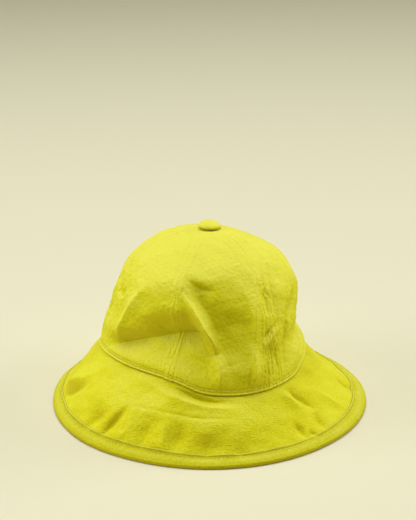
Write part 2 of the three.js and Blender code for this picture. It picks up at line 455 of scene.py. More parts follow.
def colour_ramp(tree: Tree, share: Socket, *stops: tuple[float, str]) -> Socket:
    """Colours that blend from stop to stop, each a position and an sRGB colour."""
    node = add(tree, "ValToRGB", {"Fac": share})
    ends = node.color_ramp.elements
    for end, (position, colour) in zip(ends, (stops[0], stops[-1])):
        end.position, end.color = position, srgb(colour)
    for position, colour in stops[1:-1]:
        ends.new(position).color = srgb(colour)
    return node.outputs["Color"]


def matt_surface(
    tree: Tree, colour: object, height: Socket, bump: tuple[float, float], look: dict[str, object]
) -> None:
    """Ends a material in a shader with a bump.

    Args:
        tree: the material's nodes.
        colour: the base colour, or the socket that feeds it.
        height: the socket that gives the bump's height.
        bump: the bump's strength, and its distance in metres.
        look: the shader's other inputs.
    """
    strength, distance = bump
    bumped = add(tree, "Bump", {"Height": height, "Strength": strength, "Distance": distance})
    sockets = {"Base Color": colour, "Normal": bumped.outputs["Normal"], **look}
    shader = add(tree, "BsdfPrincipled", sockets)
    add(tree, "OutputMaterial", {"Surface": shader.outputs["BSDF"]})


def new_material(name: str) -> tuple[Material, Tree]:
    """A new material with an empty node tree."""
    material = bpy.data.materials.new(name)
    material.use_nodes = True
    material.node_tree.nodes.clear()
    return material, material.node_tree


@dataclass(frozen=True)
class WashedCanvas:
    """Plain-woven cotton canvas, piece-dyed and garment-washed.

    It is quite matt, with a dry bloom of fine fibres that lightens it at grazing angles.
    Uneven, slubby yarns give it a faint crossed streak, and washing has paled its crests.
    Its creases are drawn deeper in colour as painted shade, faces that turn up paler as
    painted light from above, and faces that turn down deeper as painted shade.

    Attributes:
        name: the material's name.
        deep_and_shaded: colour in the creases and on faces turned down, painted shade.
        dyed: colour of the plain cloth.
        paled_and_lit: colour on the crests, paled by wear, and on faces turned up, painted light.
        thread: millimetres from thread to thread. Real canvas of this weight has 0.5,
            which is too fine for the picture, so it is drawn a little coarser.
        slub: millimetres that a thick stretch of yarn is wide.
        slub_length: millimetres that it is long.
        crinkle: millimetres across a crinkle that washing has set in the cloth.
        crinkle_length: millimetres that it is long.
        mottle: millimetres across the uneven patches left by washing.
        turned: degrees that the threads are turned from the cloth coordinates.
    """

    name: str
    deep_and_shaded: str = "#cbbf00"
    dyed: str = "#dcd812"
    paled_and_lit: str = "#e7e34e"
    thread: float = 0.8
    slub: float = 1.2
    slub_length: float = 3.2
    crinkle: float = 2.4
    crinkle_length: float = 6.5
    mottle: float = 26.0
    turned: float = 0.0

    def make(self) -> Material:
        """Builds the material: colour by wear, painted shade and light, and slubs; bump by weave
        and crinkle.
        """
        material, tree = new_material(self.name)
        place = add(tree, "UVMap", uv_map="cloth").outputs["UV"]
        turn = (0.0, 0.0, float(np.radians(self.turned)))
        place = add(tree, "Mapping", {"Vector": place, "Rotation": turn}).outputs["Vector"]
        warp = self.streak(tree, place, self.slub, self.slub_length)
        weft = self.streak(tree, place, self.slub_length, self.slub)
        slub = calculated(tree, "ADD", warp, weft)
        crinkle = self.streak(tree, place, self.crinkle_length, self.crinkle)
        weave = self.weave(tree, place)
        body = add(tree, "TexCoord").outputs["Object"]
        patches = {"Vector": body, "Scale": 1 / (self.mottle * MM), "Detail": 3.0}
        mottle = add(tree, "TexNoise", patches).outputs["Fac"]
        # Paler on crests from wear; deeper in dents and on the darker pieces, painted shade.
        wear_and_painted_light = add(tree, "Attribute", attribute_name="wear_and_painted_light").outputs["Fac"]
        facing = add(tree, "NewGeometry").outputs["Normal"]
        # Painted light: faces turned up are drawn paler and faces turned down deeper in colour,
        # as if lit from above.
        painted_top_light = add(tree, "SeparateXYZ", {"Vector": facing}).outputs["Z"]
        tone_and_painted_light = ((wear_and_painted_light, 0.14), (painted_top_light, 0.55), (mottle, 0.3), (slub, 0.35))
        stops = ((0.15, self.deep_and_shaded), (0.42, self.dyed), (0.75, self.paled_and_lit))
        colour = colour_ramp(tree, weighed(tree, -0.17, *tone_and_painted_light), *stops)
        height = weighed(tree, 0.0, (crinkle, 0.75), (slub, 0.8), (weave, 0.12))
        bloom = {"Sheen Weight": 0.06, "Sheen Roughness": 0.55, "Sheen Tint": srgb("#fffbd0")}
        look = {"Roughness": 0.9, "IOR": 1.47, "Specular IOR Level": 0.2, **bloom}
        matt_surface(tree, colour, height, (0.9, 0.0007), look)
        return material

    def streak(self, tree: Tree, place: Socket, wide: float, high: float) -> Socket:
        """Noise stretched to streaks of a width and height in millimetres."""
        scale = (1 / (wide * MM), 1 / (high * MM), 1.0)
        stretched = add(tree, "Mapping", {"Vector": place, "Scale": scale}).outputs["Vector"]
        sockets = {"Vector": stretched, "Scale": 1.0, "Detail": 2.0, "Roughness": 0.6}
        return add(tree, "TexNoise", sockets, noise_dimensions="2D").outputs["Fac"]

    def weave(self, tree: Tree, place: Socket) -> Socket:
        """Plain weave: the product of two sets of sine ribs, a period every two threads."""
        sockets = {"Vector": place, "Scale": WAVE_PERIOD / (2 * self.thread * MM)}
        ribs = (
            add(tree, "TexWave", sockets, bands_direction=way).outputs["Fac"] for way in "XY"
        )
        centred = [calculated(tree, "SUBTRACT", rib, 0.5) for rib in ribs]
        return calculated(tree, "MULTIPLY", *centred)


@dataclass(frozen=True)
class CottonThread:
    """Spun cotton sewing thread, dyed to match: matt, with slanting plies.

    Attributes:
        name: the material's name.
        dyed: colour on the plies.
        painted_groove_shade: colour between them.
        ply: millimetres from ply to ply.
    """

    name: str = "spun_cotton_thread"
    dyed: str = "#e3df44"
    # painted_groove_shade: colour between them, painted shade in the grooves.
    painted_groove_shade: str = "#d4ce2a"
    ply: float = 0.4

    def make(self) -> Material:
        """Builds the material: slanting ply bands in colour and bump."""
        material, tree = new_material(self.name)
        place = add(tree, "TexCoord").outputs["Object"]
        sockets = {"Vector": place, "Scale": WAVE_PERIOD / (self.ply * MM)}
        bands = add(tree, "TexWave", sockets, bands_direction="DIAGONAL").outputs["Fac"]
        # Painted shade: the thread is drawn darker between its plies.
        colours = {"Factor": bands, "A": srgb(self.painted_groove_shade), "B": srgb(self.dyed)}
        colour = add(tree, "Mix", colours, data_type="RGBA").outputs["Result"]
        look = {"Roughness": 0.75, "Sheen Weight": 0.1}
        matt_surface(tree, colour, bands, (0.4, 0.0001), look)
        return material


# The crown


@dataclass(frozen=True)
class CrownForm:
    """The crown's outer face, as in the CAD model, with the folds that its cloth has.

    "share" runs from 0 at the seam to 1 at the top. Sizes are in millimetres. The rows of
    "seam" say how far out and how far up the seam is moved, and those of "sides" how far
    the right and the left side are pushed out.
    """

    head_width: float = 182.0
    head_length: float = 198.0
    rise: float = 111.5
    seam_height: float = 50.0
    cloth: float = 2.0
    opening_right: float = -4.0
    top_lean: float = 3.2
    panel_length: float = 165.0
    hole_radius: float = 4.5
    button_radius: float = 10.0
    seam_hold: float = 6.0
    top_hold: float = 12.0
    middle: tuple[float, float] = (-2.1, -8.95)
    seam: RoundTable = RoundTable(
        (
            (-180, 0, 4), (-130, 1, 4), (-90, 5.5, 4), (-70, 2, 6), (-40, -4, 6),
            (-25, -3, 3.5), (-10, -1, -3.5), (5, 0, -6), (20, 1, -7), (45, 2, -6),
            (60, 0, -4.5), (90, 0, 0), (110, 1, 4),
        )
    )
    roundness: RoundTable = RoundTable(
        (
            (-180, 1.75), (-135, 2.15), (-90, 2.5), (0, 2.5), (45, 2.45), (90, 2.15),
            (135, 1.7),
        )
    )
    sides: AlongTable = AlongTable(
        (
            (0, 0, 0), (0.06, -7, -1), (0.12, -10, -2), (0.2, -7, -3), (0.35, 0.5, -2),
            (0.5, 4, 0), (0.65, 3, 1), (0.8, 1, 1), (1, 0, 0),
        )
    )
    folds: tuple[Fold | Hollow, ...] = (
        Hollow(
            (
                (-100, 0, 0.4, 4, 0), (-95, 0, 0.9, 7, 1.6), (-90, 0, 2.6, 14, 5),
                (-84, 0, 6.8, 22, 9), (-78, 0, 10.6, 28, 12), (-70, 0, 15.5, 33, 14.5),
                (-54.9, 0, 23.5, 45, 18.5), (-38.3, 0, 31, 56, 20.5), (-20, 0, 38, 62, 21),
                (-16.5, 0, 37.5, 65, 15.5), (-14, 0, 37, 67, 7.5), (-12.3, 0, 37, 67, 2.5),
                (-11, 0, 36, 67, 0),
            ),
            skew=0.554,
            curl=1.8,
        ),
        Hollow(
            (
                (0, -1, 5, 13.5, 0), (10, -1.5, 4.5, 14, 2.4), (18, -2.5, 3, 15.5, 6),
                (25, -4, 0, 17.5, 9.8), (32, -6, -2, 18.5, 12.6),
                (40, -8.5, -3.5, 18.8, 14.2), (48, -12, -5.5, 18.8, 13.8),
                (58, -16, -9, 18, 11.6), (68, -20, -13, 17, 8.4), (76, -23, -16, 16, 5),
                (84, -25, -18, 15, 2.4), (90, -26, -18, 15, 0.5), (96, -26, -18, 15, 0),
            ),
            runs_up=True,
            curl=0.55,
            soft=0.2,
            brow=0.02,
        ),
        Fold(-42, 79, 18, 52, 20, 20, 2.6, 2),
        Fold(-66, 36, 67, 48, 5, 5.5, 4.8, 1.3, -4),
        Fold(-4.5, 19, 90, 25, 12, 6, 5.4, 1.7),
        Fold(-79, 49, 6, 18, 16, 5, -1.3, 1.8),
        Fold(-12.5, 47.5, -54, 34, 2.2, 2.4, 6, 1.2, 1.5),
        Fold(-20, 60, -52, 18, 5, 3, 2.5, 1.8),
        Fold(-13.5, 84, -13, 17, 2, 26, -3.2, 1.1),
        Fold(19.5, 50, 86, 26, 2, 5, 2.2, 1.3),
        Fold(27, 75, 73, 50, 4, 6, 3, 1.4, 4),
        Fold(35, 74, 80, 36, 2.5, 2.5, -2, 1.3, 4),
        Fold(31, 67, 78, 24, 2, 2, -1.5, 1.3, 2),
        Fold(41, 70, 79, 34, 2.5, 2.5, -2, 1.3, 5),
        Fold(30, 37, 27, 19, 2.2, 2.2, -2, 1.2),
        Fold(29, 31, 27, 17, 3, 3, 2, 1.5),
        Fold(33, 14, -80, 18, 3.5, 2.5, -2, 1.3, 2),
        Fold(16.5, 11, 88, 25, 1.2, 9, 5.5, 1.5, -1),
        Fold(-1, 10, 88, 20, 4, 3.5, 3.6, 1.5),
        Fold(45, 33, 73, 42, 3, 3, -3, 1.3),
        Fold(56, 50, 47, 20, 5, 5, -4, 1.5),
        Fold(56, 9, 20, 24, 8, 6, 4, 2),
        Fold(-82, 52, 84, 9, 1.4, 1.4, -1.6, 1.4),
        Fold(-79.3, 50, 84, 7, 1.3, 1.3, -1.4, 1.4),
        Fold(-75.5, 51, 84, 8, 1.4, 1.4, -1.8, 1.4),
    )

    @property
    def mean_radius(self) -> float:
        """Half the mean of the opening's width and length."""
        return (self.head_width + self.head_length) / 4

    def bare(self, at: Array, share: Array) -> Array:
        """The form with no folds.

        An ellipse round whose width shrinks as cos(share * pi / 2) to a power while its
        height grows as sin(share * pi / 2) to the same power, with its sides pushed out
        by the tables and its seam moved out and up where the opening isn't even.

        Args:
            at: degrees round the hat.
            share: from 0 at the seam to 1 at the top.

        Returns:
            Points on the form.
        """
        turn = np.radians(at)
        wide, high = self.wide(at, share), self.high(at, share)
        right, front = np.sin(turn), np.cos(turn)
        sides = np.where(right > 0, self.sides.read(share, 1), self.sides.read(share, 2))
        out = sides * right**2 + self.seam.read(at, 1) * (1 - high) ** 1.5
        x = self.opening_right + self.top_lean * high - self.middle[0]
        x = x + (self.head_width / 2 * wide + out) * right
        y = -(self.head_length / 2 * wide + out) * front - self.middle[1]
        z = self.seam_height + self.seam.read(at, 2) * (1 - high) + self.rise * high
        return stacked(x, y, z)

    def normal(self, at: Array, share: Array) -> Array:
        """Outward direction: the form's level step crossed with its upward step."""
        step = 0.002
        low = np.minimum(share, 1 - 2 * step)
        level = self.bare(at + 1, low) - self.bare(at - 1, low)
        upward = self.bare(at, low + step) - self.bare(at, np.maximum(low - step, 0))
        return unit(np.cross(level, upward))

    def wide(self, at: Array, share: Array) -> Array:
        """How wide the crown is at a share, from 1 at the seam to 0."""
        return np.maximum(np.cos(share * np.pi / 2), 0) ** (2 / self.roundness.read(at))

    def high(self, at: Array, share: Array) -> Array:
        """How far the crown has risen at a share, from 0 at the seam to 1."""
        return np.sin(share * np.pi / 2) ** (2 / self.roundness.read(at))

    def share_above(self, at: Array, height: float) -> Array:
        """The share that stands a height in millimetres over the seam."""
        return 2 / np.pi * np.arcsin((height / self.rise) ** (self.roundness.read(at) / 2))

    def hole_share(self, at: Array) -> Array:
        """The share at which the panels end round the hole under the button."""
        wide = self.hole_radius / self.mean_radius
        return 2 / np.pi * np.arccos(wide ** (self.roundness.read(at) / 2))


@dataclass(frozen=True)
class PanelSeam:
    """A felled seam between two crown panels.

    Attributes:
        at: degrees round the hat.
        pucker: height of the ripples that run beside it, in millimetres.
        beside: millimetres to the right of the seam where they are strongest.
        spread: millimetres that they spread each way.
        length: millimetres from ripple to ripple.
    """

    at: float
    pucker: float
    beside: float = 0.0
    spread: float = 9.0
    length: float = 4.6


@dataclass(frozen=True)
class SeamWork:
    """How the crown's seams and hem are sewn, in millimetres.

    A felled seam is a raised band of doubled cloth with a groove along its middle and a
    row of topstitches down each side. The hem is folded under and stitched above its
    edge, so that it stands out a little over the brim.
    """

    seams: tuple[PanelSeam, ...] = (
        PanelSeam(-150, 0.3),
        PanelSeam(-90, 0.5),
        PanelSeam(-30, 0.3),
        PanelSeam(27, 0.6, 6.0, 10.0, 4.2),
        PanelSeam(90, 0.3),
        PanelSeam(150, 0.3),
    )
    band: float = 6.6
    band_height: float = 0.4
    groove: float = 0.6
    groove_depth: float = 0.4
    row: float = 5.2
    row_width: float = 0.8
    row_depth: float = 0.65
    row_pull: float = 0.35
    ripple_slant: float = 0.1
    ripple_middle: float = 52.0
    ripple_reach: float = 64.0
    flat_above: float = 75.0
    flat_share: float = 0.25
    hem_row: float = 4.7
    hem_row_width: float = 0.8
    hem_row_depth: float = 0.8
    hem_pull: float = 0.55
    hem_lip: float = 1.7
    hem_lip_height: float = 0.55
    hem_ripple_height: float = 0.08
    hem_ripple_length: float = 8.0

    def height(self, form: CrownForm, at: Array, share: Array) -> Array:
        """The relief of all the sewing, in millimetres out of the cloth.

        Args:
            form: the crown's form.
            at: degrees round the hat.
            share: from 0 at the seam to 1 at the top.

        Returns:
            Raised bands, less grooves, plus ripples that fade with a bell across them.
        """
        up = share * form.panel_length
        radius = form.mean_radius * form.wide(at, share)
        wander = Unevenness(5, 16).read(form.bare(at, share))
        stitched = stitch_pull(up, self.row_pull)
        rippled = (0.6 + 0.35 * wander) * bell(up - self.ripple_middle, self.ripple_reach, 6)
        total = np.zeros_like(radius)
        for seam in self.seams:
            away = np.radians(turned_from(seam.at, at)) * radius
            row = bell(np.abs(away) - self.row, self.row_width)
            total = total + self.band_height * bell(away, self.band, 6)
            total = total - self.groove_depth * bell(away, self.groove)
            total = total - self.row_depth * stitched * row
            turns = (away - self.ripple_slant * up) / seam.length
            ripple = np.sin(2 * np.pi * turns + 1.6 * wander) * rippled
            total = total + seam.pucker * ripple * bell(away - seam.beside, seam.spread, 3)
        total = total * free_after(form.panel_length - up, form.top_hold)
        low = bell(up, self.flat_above, 3)
        total = total * (self.flat_share + (1 - self.flat_share) * low)
        around = np.radians(at) * form.mean_radius
        rise = form.rise * form.high(at, share)
        hem_row = bell(rise - self.hem_row, self.hem_row_width)
        hem_row = hem_row * stitch_pull(around, self.hem_pull)
        lip = bell(rise, self.hem_lip, 6) - 0.6 * bell(rise - self.hem_lip - 0.7, 0.6)
        total = total - self.hem_row_depth * hem_row + self.hem_lip_height * lip
        ripple = np.sin(2 * np.pi * around / self.hem_ripple_length + 2.5 * wander) * wander
        return total + self.hem_ripple_height * ripple * bell(rise - 11, 7)


@dataclass(frozen=True)
class CrownCloth:
    """The crown's cloth: form, folds, sewing and fine unevenness together."""

    form: CrownForm = CrownForm()
    sewing: SeamWork = SeamWork()
    creasing: tuple[tuple[Unevenness, float], ...] = (
        (Unevenness(11, 34), 0.45),
        (Unevenness(12, 13), 0.2),
        (Unevenness(13, 6), 0.08),
    )
    hem_hold: float = 8.0
    hem_roll: float = 1.0
    shown_inside: float = 0.3

    def depth(self, at: Array, share: Array) -> Array:
        """The big folds in millimetres, held flat at the seam and under the button."""
        form = self.form
        up = share * form.panel_length
        radius = np.maximum(form.mean_radius * form.wide(at, share), form.button_radius)
        free = free_after(up, form.seam_hold)
        free = free * free_after(form.panel_length - up, form.top_hold)
        return folded(form.folds, at, up, radius) * free

    def place(self, at: Array, share: Array, inside: float) -> Array:
        """Points in the cloth, some millimetres under its outer face.

        The form plus its normal times folds, sewing and unevenness, less the depth
        inside. The wall stands upright at the seam and rolls to its middle at the hem.

        Args:
            at: degrees round the hat.
            share: from 0 at the seam to 1 at the top.
            inside: millimetres under the outer face, 0 or the cloth's thickness.

        Returns:
            Points in millimetres.
        """
        form = self.form
        up = share * form.panel_length
        bare = form.bare(at, share)
        normal = form.normal(at, share)
        normal[..., 2] = normal[..., 2] * free_after(up, form.seam_hold)
        rough = roughness(self.creasing, bare) * free_after(up, self.hem_hold)
        rough = rough * free_after(form.panel_length - up, form.top_hold)
        rise = form.rise * form.high(at, share)
        rolled = np.sqrt(1 - (1 - np.minimum(rise / self.hem_roll, 1)) ** 2)
        wall = form.cloth / 2 + (inside - form.cloth / 2) * rolled
        shown = 1.0 if inside < form.cloth / 2 else self.shown_inside
        relief = self.depth(at, share) + rough + self.sewing.height(form, at, share) * shown
        return bare + unit(normal) * (relief - wall)[..., None]


@dataclass(frozen=True)
class Panel:
    """One crown panel.

    Attributes:
        node: the CAD node that it stands for.
        first: degrees of the seam where it starts.
        last: degrees of the seam where it ends.
        columns: faces from seam to seam.
        rows: faces from hem to button.
    """

    node: str
    first: float
    last: float
    columns: int
    rows: int


@dataclass(frozen=True)
class Crown:
    """Six crown panels and their topstitching."""

    cloth: CrownCloth = CrownCloth()
    panels: tuple[Panel, ...] = (
        Panel("crown_panel_1", -30, 27, 150, 250),
        Panel("crown_panel_2", 27, 90, 150, 240),
        Panel("crown_panel_3", 90, 150, 84, 150),
        Panel("crown_panel_4", 150, 210, 84, 150),
        Panel("crown_panel_5", -150, -90, 84, 150),
        Panel("crown_panel_6", -90, -30, 150, 240),
    )
    gap: float = 0.06
    edge_crowding: float = 0.5
    hem_crowding: float = 1.5
    full_wear_and_shade: float = 8.0
    first_stitch: float = 7.0
    last_stitch: float = 142.0

    def panel_body(self, panel: Panel) -> Body:
        """Lofts a panel: each loop runs along its outer face and back along its inner one.

        Columns crowd towards both seams as u = s + c sin(pi s) / pi, and rows crowd
        towards the hem as a power of the row's share.

        Args:
            panel: the panel to make.

        Returns:
            Its closed body, with cloth coordinates along the panel's own middle line.
        """
        form = self.cloth.form
        even = np.linspace(-1, 1, panel.columns + 1)[None, :]
        across = even + self.edge_crowding * np.sin(np.pi * even) / np.pi
        middle, half = (panel.first + panel.last) / 2, (panel.last - panel.first) / 2
        share = np.linspace(0, 1, panel.rows + 1)[:, None] ** self.hem_crowding
        centre = np.array([[middle]])
        radius = form.mean_radius * form.wide(centre, share * form.hole_share(centre))
        at = middle + across * (half - np.degrees(self.gap / 2 / radius))
        share = share * form.hole_share(at)
        outer, inner = (self.cloth.place(at, share, depth) for depth in (0.0, form.cloth))
        flat = stacked(np.radians(at - middle) * radius, share * form.panel_length)
        # Painted shade: dents are drawn deeper in colour; ridges are drawn paler, from wear.
        wear_and_painted_light = np.tanh(self.cloth.depth(at, share) / self.full_wear_and_shade)
        loops = there_and_back(outer, inner)
        return loft(loops, there_and_back(flat), there_and_back(wear_and_painted_light), False)

    def build(self, canvas: Material, thread: Material) -> None:
        """Makes the six panels and the rows of stitches on them."""
        for panel in self.panels:
            name, body = f"{panel.node}_cloth", self.panel_body(panel)
            cloth_piece(name, body, canvas, Slot.CLOTH, panel.node)
        cloth_piece("crown_seam_stitches", self.seam_stitches(), thread, Slot.CLOTH)
        cloth_piece("crown_hem_stitches", self.hem_stitches(), thread, Slot.CLOTH)

    def seam_stitches(self) -> Body:
        """Two rows of stitches beside each panel seam, from the hem to near the button."""
        form, sewing = self.cloth.form, self.cloth.sewing
        count = int((self.last_stitch - self.first_stitch) / STITCH)
        starts = (np.arange(count) + 0.5) * STITCH + self.first_stitch
        seams = [seam.at for seam in sewing.seams]
        at, side, start = np.meshgrid(seams, (-1.0, 1.0), starts, indexing="ij")

        def centre(along: Array) -> tuple[Array, Array]:
            """Degrees and share of the row at a length along each stitch."""
            share = (start[..., None] + along) / form.panel_length
            radius = form.mean_radius * form.wide(at[..., None], share)
            return at[..., None] + np.degrees(side[..., None] * sewing.row / radius), share

        return Stitch().sew(self.cloth.place, centre)

    def hem_stitches(self) -> Body:
        """One row of stitches round the crown, just above its hem."""
        form, height = self.cloth.form, self.cloth.sewing.hem_row
        row = partial(form.share_above, height=height)
        return Stitch().sew_round(self.cloth.place, form.mean_radius, row)


@dataclass(frozen=True)
class Stitch:
    """A short rounded thread that arches over the cloth between two needle holes.

    It is a tube of six sides. Its middle line is the cloth's face, lifted by sin(pi t) as
    t goes from 0 to 1 and sunk a little, and its radius follows the root of 4 t (1 - t).
    Sizes are in millimetres, and "length" is a share of the way between the holes.
    """

    radius: float = 0.28
    lift: float = 0.13
    sunk: float = 0.12
    length: float = 0.86
    rings: int = 6

    def sew(self, place: Place, centre: Centre, facing: float = 1.0) -> Body:
        """Sews a stitch on each place of a row.

        Args:
            place: gives points from degrees, share and depth under the face.
            centre: gives degrees and share at a length along each stitch.
            facing: 1 where share grows upwards on the face, -1 where it grows outwards.

        Returns:
            All the stitches as one body.
        """
        rings, sides = self.rings, 6
        t = np.linspace(0.02, 0.98, rings)
        at, share = centre((t - 0.5) * STITCH * self.length)
        at, share = at.reshape(-1, rings), share.reshape(-1, rings)
        middle = place(at, share, 0.0)
        aside, onward = 0.4, 0.003
        level = place(at + aside, share, 0.0) - place(at - aside, share, 0.0)
        upward = place(at, share + onward, 0.0) - place(at, share - onward, 0.0)
        normal = unit(np.cross(level, upward)) * facing
        tangent = unit(np.gradient(middle, axis=1))
        side = unit(np.cross(normal, tangent))
        normal = np.cross(tangent, side)
        middle = middle + normal * (self.lift * np.sin(np.pi * t) - self.sunk)[:, None]
        turn = (np.arange(sides) * (2 * np.pi / sides))[:, None]
        girth = (self.radius * np.sqrt(4 * t * (1 - t)))[:, None, None]
        ring = side[:, :, None] * np.cos(turn) + normal[:, :, None] * np.sin(turn)
        points = middle[:, :, None] + ring * girth
        i, k = np.meshgrid(np.arange(rings - 1) * sides, np.arange(sides), indexing="ij")
        after = (k + 1) % sides
        tube = stacked(i + k, i + after, i + sides + after, i + sides + k).reshape(-1, 4)
        first = [[0, 5, 4, 3], [0, 3, 2, 1]]
        last = (rings - 1) * sides + np.array([[0, 1, 2, 3], [0, 3, 4, 5]])
        starts = np.arange(len(points))[:, None, None] * (rings * sides)
        quads = (starts + np.concatenate([tube, first, last])).reshape(-1, 4)
        points = points.reshape(-1, 3)
        return Body(points, quads, points[quads][..., :2], np.zeros(len(points)))

    def sew_round(
        self, place: Place, radius: float, row: Callable[[Array], Array], facing: float = 1.0
    ) -> Body:
        """Sews one row round the hat.

        Args:
            place: gives points from degrees, share and depth under the face.
            radius: mean radius of the row.
            row: gives the row's share at each angle.
            facing: as for sew.

        Returns:
            All the stitches as one body.
        """
        count = int(2 * np.pi * radius / STITCH)
        start = np.arange(count)[:, None] * (360 / count)

        def centre(along: Array) -> tuple[Array, Array]:
            """Degrees and share of the row at a length along each stitch."""
            at = start + np.degrees(along / radius)
            return at, row(at)

        return self.sew(place, centre, facing)


# The brim, its binding and the button


@dataclass(frozen=True)
class BrimForm:
    """The middle of the brim's cloth, as in the CAD model but a little less wide.

    Sizes are in millimetres. "edge_out" is added to the radius at the edge.
    """

    crown: CrownForm = CrownForm()
    radius: float = 147.0
    slope: float = 74.0
    edge_height: float = 2.264
    seam_lip: float = 0.7
    gap: float = 0.3
    cloth: float = 2.0
    edge_hold: float = 7.5
    edge_out: RoundTable = RoundTable(
        (
            (-180, -19), (-140, -16), (-105, -6), (-60, -1), (-30, -3.5), (30, -4),
            (60, -3.5), (80, -6), (100, -12.5), (120, -19), (145, -21),
        )
    )
    flare: RoundTable = RoundTable(
        (
            (-180, 0.3), (-90, 0.2), (0, 0.25), (60, 0.35), (100, 0.75), (125, 0.8),
            (150, 0.6),
        )
    )
    folds: tuple[Fold, ...] = (
        Fold(-14, 7.5, 3, 42, 4.5, 5, -6.5, 1.5),
        Fold(-14, 13, 3, 52, 7, 4, 4, 1.3, 3),
        Fold(-20, 32, -3, 62, 1.6, 1.6, -1.2, 1.3, -1),
        Fold(-30, 36, -1, 170, 24, 34, 7, 1.8),
        Fold(-48, 52.5, -64, 22, 5.5, 2.5, -5, 1.3),
        Fold(-57, 58, -57, 18, 6, 6, -4, 1.6),
        Fold(-42, 58, -60, 13, 4, 4, 1.5, 1.5),
        Fold(-33, 54, -75, 24, 9, 8.5, -4.4, 1.8),
        Fold(-20, 52, -75, 23, 8, 8, -3.8, 1.8),
        Fold(-25.6, 50, -87, 19, 4.5, 4.5, 1.2, 1.6),
        Fold(-9, 61, -84, 18, 9, 9, -2.8, 1.8),
        Fold(-4, 36, -87, 22, 13, 13, 2.2, 2),
        Fold(3, 61, -86, 12, 7, 7, -2, 1.8),
        Fold(-80, 52, -44, 26, 5, 5, -3, 1.5),
        Fold(-84, 42, -39, 36, 6, 6, 3, 1.5),
        Fold(41, 25, 68, 23, 3, 3, -3.5, 1.3, 1),
        Fold(35, 22, 72, 23, 5, 5, 2.5, 1.6),
        Fold(41, 56, -72, 14, 4, 4, -3.5, 1.5),
        Fold(30, 56, 85, 14, 4, 4, -3, 1.5),
        Fold(34, 62, 46, 5, 3, 3, -2.5, 1.5),
        Fold(75, 59, -76, 15, 4, 4, -4, 1.5, 3),
        Fold(56, 48, 77, 25, 5, 5, 2.5, 1.5),
    )
    creasing: tuple[tuple[Unevenness, float], ...] = (
        (Unevenness(21, 38), 0.5),
        (Unevenness(22, 14), 0.15),
        (Unevenness(23, 6), 0.05),
    )

    def place(self, at: Array, share: Array, lift: Array | float) -> Array:
        """Points in the brim's cloth, some millimetres above its middle.

        From a start under the crown's hem to the edge, straight down in height while the
        outward part runs as share + flare * share * (share - 1), which bends the slope.
        Folds and unevenness move it along the normal in the same upright plane.

        Args:
            at: degrees round the hat.
            share: from 0 at the seam to 1 at the edge, or a little past it.
            lift: millimetres above the middle of the cloth.

        Returns:
            Points in millimetres.
        """
        at, share = np.broadcast_arrays(np.asarray(at, float), np.asarray(share, float))
        turn, flare = np.radians(at), self.flare.read(at)
        seam = self.crown.bare(at, np.zeros_like(share))
        reach = self.radius + self.edge_out.read(at)
        mid_x, mid_y = self.crown.middle
        x, y = reach * np.sin(turn) - mid_x, -reach * np.cos(turn) - mid_y
        edge = stacked(x, y, self.edge_height)
        outward = (edge - seam) * (1.0, 1.0, 0.0)
        run = np.linalg.norm(outward, axis=-1)
        outward = outward / run[..., None]
        drop = seam[..., 2] - self.edge_height

        def normal(steep: Array) -> Array:
            """Upward direction across a slope that is steeper or flatter than the mean."""
            return unit(outward * drop[..., None] + (run * steep)[..., None] * (0.0, 0.0, 1.0))

        seam = seam - normal(1 - flare) * (self.cloth / 2) - outward * self.seam_lip
        seam = seam - (0.0, 0.0, self.gap)
        forward = share + flare * share * (share - 1)
        spot = seam + (edge - seam) * stacked(forward, forward, share)
        up = share * self.slope
        radius = np.hypot(spot[..., 0] + mid_x, spot[..., 1] + mid_y)
        free = free_after(up, self.crown.seam_hold)
        free = free * free_after(np.maximum(self.slope - up, 0), self.edge_hold)
        depth = folded(self.folds, at, up, radius) + roughness(self.creasing, spot)
        return spot + normal(1 + flare * (2 * share - 1)) * (depth * free + lift)[..., None]


@dataclass(frozen=True)
class Brim:
    """The brim's cloth: one ring of two layers sewn flat, painted a shade darker than the crown.
    """

    form: BrimForm = BrimForm()
    columns: int = 720
    rows: int = 60
    painted_shade: float = 2.3
    full_wear_and_shade: float = 5.0
    narrow: float = 0.65
    inner: float = 95.0
    flattening: float = 0.78

    def body(self) -> Body:
        """Lofts the ring: each loop runs out along its top and back along its underside."""
        form = self.form
        at, share = columns_round(self.columns), np.linspace(0, 1, self.rows + 1)[None, :]
        up, half = share * form.slope, form.cloth / 2
        loops = there_and_back(form.place(at, share, half), form.place(at, share, -half))
        flat = self.unrolled(columns_round(self.columns, 1), up)
        radius = form.radius * (self.narrow + (1 - self.narrow) * share)
        # Painted shade: the whole brim is drawn darker and its dents deeper in colour; its ridges
        # paler, from wear.
        wear_and_painted_light = np.tanh(folded(form.folds, at, up, radius) / self.full_wear_and_shade) - self.painted_shade
        return loft(loops, there_and_back(flat), there_and_back(wear_and_painted_light), True)

    def unrolled(self, at: Array, up: Array) -> Array:
        """Cloth coordinates of the brim laid flat: a ring sector of a cone."""
        radius, turn = self.inner / self.flattening + up, np.radians(at) * self.flattening
        return stacked(radius * np.sin(turn), radius * np.cos(turn))

    def build(self, canvas: Material) -> None:
        """Makes the brim."""
        cloth_piece("brim_cloth", self.body(), canvas, Slot.CLOTH, "brim")


